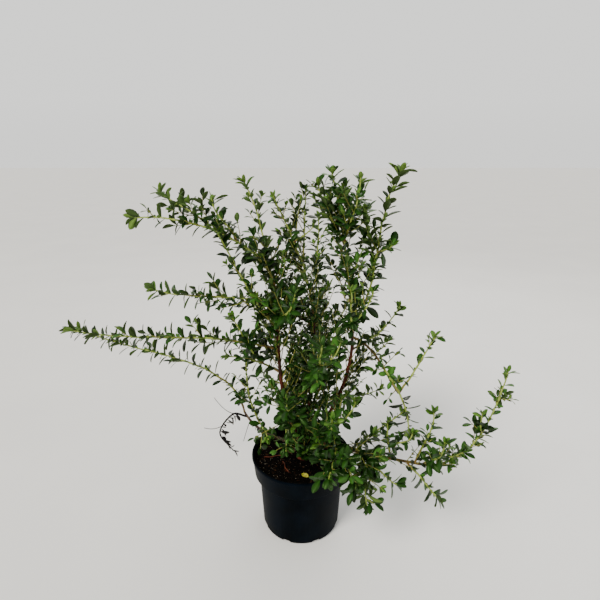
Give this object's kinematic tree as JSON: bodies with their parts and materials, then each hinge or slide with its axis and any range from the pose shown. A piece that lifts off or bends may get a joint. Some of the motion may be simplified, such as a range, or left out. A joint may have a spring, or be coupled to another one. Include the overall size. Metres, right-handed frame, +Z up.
{
  "type": "potted red elf escallonia",
  "caption": "Young evergreen shrub with arching leafy shoots and a dried black shoot, growing in a round black nursery pot; stands on the pot's flat foot.",
  "frame": {"origin": "middle of the pot's flat underside", "axes": "+Z up; the plant's widest side faces -Y, with the long low shoots to -X"},
  "size_m": [0.8153, 0.474, 0.6974],
  "materials": {
    "pot_plastic": "matte moulded, faint turning rings",
    "peat": "crumbly, with grit and bark slivers",
    "bark": "red-brown young bark",
    "leaf": "glossy evergreen leaves, yellow-green at the tips",
    "dead_leaf": "dried black, shrivelled"
  },
  "bodies": {
    "root": {"pot": "pot_plastic", "soil": "peat", "rootstock": "bark", "centre_stem": "bark", "left_stem": "bark", "right_stem": "bark", "low_left_stem": "bark", "low_right_stem": "bark", "front_stem": "bark", "back_stem": "bark", "right_bough": "bark", "upper_left_shoot": "leaf", "left_upright_shoot": "leaf", "middle_upright_shoot": "leaf", "mid_left_shoot": "leaf", "low_left_upper_shoot": "leaf", "low_left_shoot": "leaf", "inner_left_shoot": "leaf", "rim_left_shoot": "leaf", "top_shoot": "leaf", "tall_right_shoot": "leaf", "upper_right_shoot": "leaf", "right_shoot": "leaf", "mid_right_shoot": "leaf", "far_right_shoot": "leaf", "right_rising_shoot": "leaf", "right_outer_shoot": "leaf", "right_inner_shoot": "leaf", "right_hanging_shoot": "leaf", "right_low_shoot": "leaf", "front_right_shoot": "leaf", "front_shoot": "leaf", "front_rising_shoot": "leaf", "front_left_shoot": "leaf", "middle_front_shoot": "leaf", "middle_left_shoot": "leaf", "middle_right_shoot": "leaf", "back_upright_shoot": "leaf", "back_right_shoot": "leaf", "back_middle_shoot": "leaf", "back_left_shoot": "leaf", "back_outer_right_shoot": "leaf", "back_low_left_shoot": "leaf", "back_low_shoot": "leaf", "back_low_right_shoot": "leaf", "second_left_shoot": "leaf", "right_drooping_shoot": "leaf", "dead_shoot": "dead_leaf"}
  },
  "joints": []
}
